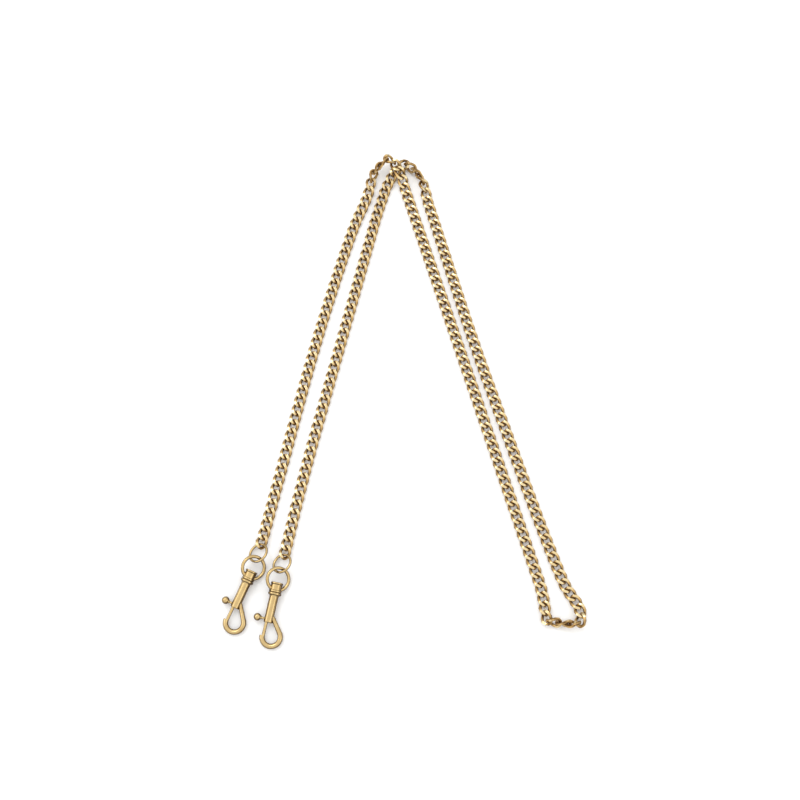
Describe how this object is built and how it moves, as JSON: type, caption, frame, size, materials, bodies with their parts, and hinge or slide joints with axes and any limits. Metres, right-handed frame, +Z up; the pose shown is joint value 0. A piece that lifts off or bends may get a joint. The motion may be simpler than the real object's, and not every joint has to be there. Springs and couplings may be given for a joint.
{
  "type": "curb chain with swivel snaps",
  "caption": "Flat twisted curb chain laid in a doubled loop, with a jump ring and a swivel bolt snap at each end, for clipping a watch, keys, purse or bag.",
  "frame": {"origin": "centre of the bounding box, on the table the chain lies on", "axes": "+Z up from the table, +Y from the snaps towards the top bend, +X to the right with the snaps at the lower left"},
  "size_m": [0.2175, 0.3249, 0.0117],
  "materials": {
    "chain_brass": "polished antique gold, dark in the recesses",
    "snap_brass": "polished antique gold",
    "spring_steel": "drawn wire"
  },
  "bodies": {
    "turn": {"turn": "chain_brass"},
    "over_01": {"over_01": "chain_brass"},
    "over_02": {"over_02": "chain_brass"},
    "over_03": {"over_03": "chain_brass"},
    "over_04": {"over_04": "chain_brass"},
    "over_05": {"over_05": "chain_brass"},
    "over_06": {"over_06": "chain_brass"},
    "over_07": {"over_07": "chain_brass"},
    "over_08": {"over_08": "chain_brass"},
    "over_09": {"over_09": "chain_brass"},
    "over_10": {"over_10": "chain_brass"},
    "over_11": {"over_11": "chain_brass"},
    "over_12": {"over_12": "chain_brass"},
    "over_13": {"over_13": "chain_brass"},
    "over_14": {"over_14": "chain_brass"},
    "over_15": {"over_15": "chain_brass"},
    "over_16": {"over_16": "chain_brass"},
    "over_17": {"over_17": "chain_brass"},
    "over_18": {"over_18": "chain_brass"},
    "over_19": {"over_19": "chain_brass"},
    "over_20": {"over_20": "chain_brass"},
    "over_21": {"over_21": "chain_brass"},
    "over_22": {"over_22": "chain_brass"},
    "under_01": {"under_01": "chain_brass"},
    "under_02": {"under_02": "chain_brass"},
    "under_03": {"under_03": "chain_brass"},
    "under_04": {"under_04": "chain_brass"},
    "under_05": {"under_05": "chain_brass"},
    "under_06": {"under_06": "chain_brass"},
    "under_07": {"under_07": "chain_brass"},
    "under_08": {"under_08": "chain_brass"},
    "under_09": {"under_09": "chain_brass"},
    "under_10": {"under_10": "chain_brass"},
    "under_11": {"under_11": "chain_brass"},
    "under_12": {"under_12": "chain_brass"},
    "under_13": {"under_13": "chain_brass"},
    "under_14": {"under_14": "chain_brass"},
    "under_15": {"under_15": "chain_brass"},
    "under_16": {"under_16": "chain_brass"},
    "under_17": {"under_17": "chain_brass"},
    "under_18": {"under_18": "chain_brass"},
    "under_19": {"under_19": "chain_brass"},
    "under_20": {"under_20": "chain_brass"},
    "under_21": {"under_21": "chain_brass"},
    "under_22": {"under_22": "chain_brass"},
    "first_jump_ring": {"first_jump_ring": "snap_brass"},
    "first_swivel_ring": {"first_swivel_ring": "snap_brass"},
    "first_snap": {"first_snap_body": "snap_brass", "first_swivel_rivet": "snap_brass", "first_bolt_spring": "spring_steel"},
    "first_bolt": {"first_bolt": "snap_brass", "first_thumb_knob": "snap_brass"},
    "second_jump_ring": {"second_jump_ring": "snap_brass"},
    "second_swivel_ring": {"second_swivel_ring": "snap_brass"},
    "second_snap": {"second_snap_body": "snap_brass", "second_swivel_rivet": "snap_brass", "second_bolt_spring": "spring_steel"},
    "second_bolt": {"second_bolt": "snap_brass", "second_thumb_knob": "snap_brass"}
  },
  "joints": [
    {"name": "over_01_lift", "type": "hinge", "parent": "turn", "child": "over_01", "pos_m": [0.08461, -0.14593, 0.00411], "axis": [0.7193, 0.6947, 0], "range_deg": [0, 8]},
    {"name": "over_02_lift", "type": "hinge", "parent": "over_01", "child": "over_02", "pos_m": [0.07981, -0.11881, 0.00179], "axis": [0.9563, 0.2924, 0], "range_deg": [0, 8]},
    {"name": "over_03_lift", "type": "hinge", "parent": "over_02", "child": "over_03", "pos_m": [0.07133, -0.09107, 0.00179], "axis": [0.9563, 0.2924, 0], "range_deg": [0, 8]},
    {"name": "over_04_lift", "type": "hinge", "parent": "over_03", "child": "over_04", "pos_m": [0.06285, -0.06334, 0.00179], "axis": [0.9563, 0.2924, 0], "range_deg": [0, 8]},
    {"name": "over_05_lift", "type": "hinge", "parent": "over_04", "child": "over_05", "pos_m": [0.05437, -0.03561, 0.00179], "axis": [0.9563, 0.2924, 0], "range_deg": [0, 8]},
    {"name": "over_06_lift", "type": "hinge", "parent": "over_05", "child": "over_06", "pos_m": [0.04589, -0.00788, 0.00179], "axis": [0.9563, 0.2924, 0], "range_deg": [0, 8]},
    {"name": "over_07_lift", "type": "hinge", "parent": "over_06", "child": "over_07", "pos_m": [0.03741, 0.01986, 0.00179], "axis": [0.9563, 0.2924, 0], "range_deg": [0, 8]},
    {"name": "over_08_lift", "type": "hinge", "parent": "over_07", "child": "over_08", "pos_m": [0.02894, 0.04759, 0.00179], "axis": [0.9563, 0.2924, 0], "range_deg": [0, 8]},
    {"name": "over_09_lift", "type": "hinge", "parent": "over_08", "child": "over_09", "pos_m": [0.02046, 0.07532, 0.00179], "axis": [0.9563, 0.2924, 0], "range_deg": [0, 8]},
    {"name": "over_10_lift", "type": "hinge", "parent": "over_09", "child": "over_10", "pos_m": [0.01198, 0.10306, 0.00179], "axis": [0.9563, 0.2924, 0], "range_deg": [0, 8]},
    {"name": "over_11_lift", "type": "hinge", "parent": "over_10", "child": "over_11", "pos_m": [0.0035, 0.13079, 0.00179], "axis": [0.9563, 0.2924, 0], "range_deg": [0, 6]},
    {"name": "over_12_lift", "type": "hinge", "parent": "over_11", "child": "over_12", "pos_m": [-0.00129, 0.14674, 0.00501], "axis": [0.9336, 0.3584, 0], "range_deg": [0, 6]},
    {"name": "over_13_lift", "type": "hinge", "parent": "over_12", "child": "over_13", "pos_m": [-0.01073, 0.15878, 0.00798], "axis": [-0.0523, 0.9986, 0], "range_deg": [0, 6]},
    {"name": "over_14_side", "type": "hinge", "parent": "over_13", "child": "over_14", "pos_m": [-0.02153, 0.14499, 0.00364], "axis": [0, 0, 1], "range_deg": [-8, 0]},
    {"name": "over_15_lift", "type": "hinge", "parent": "over_14", "child": "over_15", "pos_m": [-0.03062, 0.11769, 0.00178], "axis": [-0.9336, 0.3584, 0], "range_deg": [-10, 10]},
    {"name": "over_16_side", "type": "hinge", "parent": "over_15", "child": "over_16", "pos_m": [-0.03947, 0.09008, 0.00178], "axis": [0, 0, 1], "range_deg": [-8, 0]},
    {"name": "over_17_lift", "type": "hinge", "parent": "over_16", "child": "over_17", "pos_m": [-0.04747, 0.0622, 0.00178], "axis": [-0.9636, 0.2672, 0], "range_deg": [-10, 10]},
    {"name": "over_18_side", "type": "hinge", "parent": "over_17", "child": "over_18", "pos_m": [-0.05497, 0.03419, 0.00178], "axis": [0, 0, 1], "range_deg": [-8, 0]},
    {"name": "over_19_lift", "type": "hinge", "parent": "over_18", "child": "over_19", "pos_m": [-0.06199, 0.00605, 0.00178], "axis": [-0.9724, 0.2334, 0], "range_deg": [-10, 10]},
    {"name": "over_20_side", "type": "hinge", "parent": "over_19", "child": "over_20", "pos_m": [-0.06857, -0.02219, 0.00178], "axis": [0, 0, 1], "range_deg": [-8, 0]},
    {"name": "over_21_lift", "type": "hinge", "parent": "over_20", "child": "over_21", "pos_m": [-0.07509, -0.05044, 0.00178], "axis": [-0.9744, 0.225, 0], "range_deg": [-10, 10]},
    {"name": "over_22_side", "type": "hinge", "parent": "over_21", "child": "over_22", "pos_m": [-0.08162, -0.0787, 0.00178], "axis": [0, 0, 1], "range_deg": [-8, 0]},
    {"name": "under_01_lift", "type": "hinge", "parent": "turn", "child": "under_01", "pos_m": [0.10404, -0.14725, 0.00411], "axis": [0.6428, -0.766, 0], "range_deg": [-6, 0]},
    {"name": "under_02_lift", "type": "hinge", "parent": "under_01", "child": "under_02", "pos_m": [0.09528, -0.12236, 0.00179], "axis": [0.9205, 0.3907, 0], "range_deg": [-6, 0]},
    {"name": "under_03_lift", "type": "hinge", "parent": "under_02", "child": "under_03", "pos_m": [0.08555, -0.09504, 0.00179], "axis": [0.9449, 0.3272, 0], "range_deg": [-6, 0]},
    {"name": "under_04_lift", "type": "hinge", "parent": "under_03", "child": "under_04", "pos_m": [0.0763, -0.06755, 0.00179], "axis": [0.9505, 0.3107, 0], "range_deg": [-6, 0]},
    {"name": "under_05_lift", "type": "hinge", "parent": "under_04", "child": "under_05", "pos_m": [0.06734, -0.03997, 0.00179], "axis": [0.9511, 0.309, 0], "range_deg": [-6, 0]},
    {"name": "under_06_lift", "type": "hinge", "parent": "under_05", "child": "under_06", "pos_m": [0.05838, -0.01239, 0.00179], "axis": [0.9511, 0.309, 0], "range_deg": [-6, 0]},
    {"name": "under_07_lift", "type": "hinge", "parent": "under_06", "child": "under_07", "pos_m": [0.04947, 0.01521, 0.00179], "axis": [0.9537, 0.3007, 0], "range_deg": [-6, 0]},
    {"name": "under_08_lift", "type": "hinge", "parent": "under_07", "child": "under_08", "pos_m": [0.04099, 0.04294, 0.00179], "axis": [0.9588, 0.284, 0], "range_deg": [-6, 0]},
    {"name": "under_09_lift", "type": "hinge", "parent": "under_08", "child": "under_09", "pos_m": [0.03294, 0.0708, 0.00179], "axis": [0.9613, 0.2756, 0], "range_deg": [-6, 0]},
    {"name": "under_10_lift", "type": "hinge", "parent": "under_09", "child": "under_10", "pos_m": [0.02495, 0.09867, 0.00179], "axis": [0.9613, 0.2756, 0], "range_deg": [-6, 0]},
    {"name": "under_11_lift", "type": "hinge", "parent": "under_10", "child": "under_11", "pos_m": [0.01855, 0.12098, 0.00179], "axis": [0.9588, 0.284, 0], "range_deg": [-6, 0]},
    {"name": "under_12_lift", "type": "hinge", "parent": "under_11", "child": "under_12", "pos_m": [0.01437, 0.13772, 0.0032], "axis": [0.9744, 0.225, 0], "range_deg": [-6, 0]},
    {"name": "under_13_lift", "type": "hinge", "parent": "under_12", "child": "under_13", "pos_m": [0.00099, 0.15706, 0.00397], "axis": [0.061, 0.9981, 0], "range_deg": [-6, 0]},
    {"name": "under_14_side", "type": "hinge", "parent": "under_13", "child": "under_14", "pos_m": [-0.00948, 0.14546, 0.00184], "axis": [0, 0, 1], "range_deg": [0, 6]},
    {"name": "under_15_lift", "type": "hinge", "parent": "under_14", "child": "under_15", "pos_m": [-0.01838, 0.1179, 0.00184], "axis": [-0.967, 0.2546, 0], "range_deg": [-10, 10]},
    {"name": "under_16_side", "type": "hinge", "parent": "under_15", "child": "under_16", "pos_m": [-0.0254, 0.08976, 0.00184], "axis": [0, 0, 1], "range_deg": [0, 6]},
    {"name": "under_17_lift", "type": "hinge", "parent": "under_16", "child": "under_17", "pos_m": [-0.03241, 0.06162, 0.00184], "axis": [-0.9703, 0.2419, 0], "range_deg": [-10, 10]},
    {"name": "under_18_side", "type": "hinge", "parent": "under_17", "child": "under_18", "pos_m": [-0.03943, 0.03348, 0.00184], "axis": [0, 0, 1], "range_deg": [0, 6]},
    {"name": "under_19_lift", "type": "hinge", "parent": "under_18", "child": "under_19", "pos_m": [-0.04644, 0.00534, 0.00184], "axis": [-0.9703, 0.2419, 0], "range_deg": [-10, 10]},
    {"name": "under_20_side", "type": "hinge", "parent": "under_19", "child": "under_20", "pos_m": [-0.05346, -0.02279, 0.00184], "axis": [0, 0, 1], "range_deg": [0, 6]},
    {"name": "under_21_lift", "type": "hinge", "parent": "under_20", "child": "under_21", "pos_m": [-0.06028, -0.05098, 0.00184], "axis": [-0.974, 0.2267, 0], "range_deg": [-10, 10]},
    {"name": "under_22_side", "type": "hinge", "parent": "under_21", "child": "under_22", "pos_m": [-0.0666, -0.07928, 0.00184], "axis": [0, 0, 1], "range_deg": [0, 6]},
    {"name": "first_jump_ring_lift", "type": "hinge", "parent": "over_22", "child": "first_jump_ring", "pos_m": [-0.08705, -0.10222, 0.00382], "axis": [-0.9744, 0.225, 0], "range_deg": [-8, 8]},
    {"name": "first_swivel_ring_lift", "type": "hinge", "parent": "first_jump_ring", "child": "first_swivel_ring", "pos_m": [-0.08911, -0.11006, 0.00477], "axis": [-0.9135, 0.4067, 0], "range_deg": [-8, 8]},
    {"name": "first_snap_swivel", "type": "hinge", "parent": "first_swivel_ring", "child": "first_snap", "pos_m": [-0.10099, -0.13835, 0.00304], "axis": [-0.4056, -0.911, -0.075], "continuous": true},
    {"name": "first_bolt_slide", "type": "slide", "parent": "first_snap", "child": "first_bolt", "axis": [-0.4056, -0.911, -0.075], "range_m": [-0.0064, 0], "stiffness_N_per_m": 150, "springref_m": 0.002, "deforming": ["first_bolt_spring"]},
    {"name": "second_jump_ring_lift", "type": "hinge", "parent": "under_22", "child": "second_jump_ring", "pos_m": [-0.07268, -0.1086, 0.00388], "axis": [-0.9796, 0.2011, 0], "range_deg": [-8, 8]},
    {"name": "second_swivel_ring_lift", "type": "hinge", "parent": "second_jump_ring", "child": "second_swivel_ring", "pos_m": [-0.07439, -0.11672, 0.0048], "axis": [-0.9781, 0.2079, 0], "range_deg": [-8, 8]},
    {"name": "second_snap_swivel", "type": "hinge", "parent": "second_swivel_ring", "child": "second_snap", "pos_m": [-0.08082, -0.14697, 0.00304], "axis": [-0.2073, -0.9754, -0.075], "continuous": true},
    {"name": "second_bolt_slide", "type": "slide", "parent": "second_snap", "child": "second_bolt", "axis": [-0.2073, -0.9754, -0.075], "range_m": [-0.0064, 0], "stiffness_N_per_m": 150, "springref_m": 0.002, "deforming": ["second_bolt_spring"]}
  ]
}
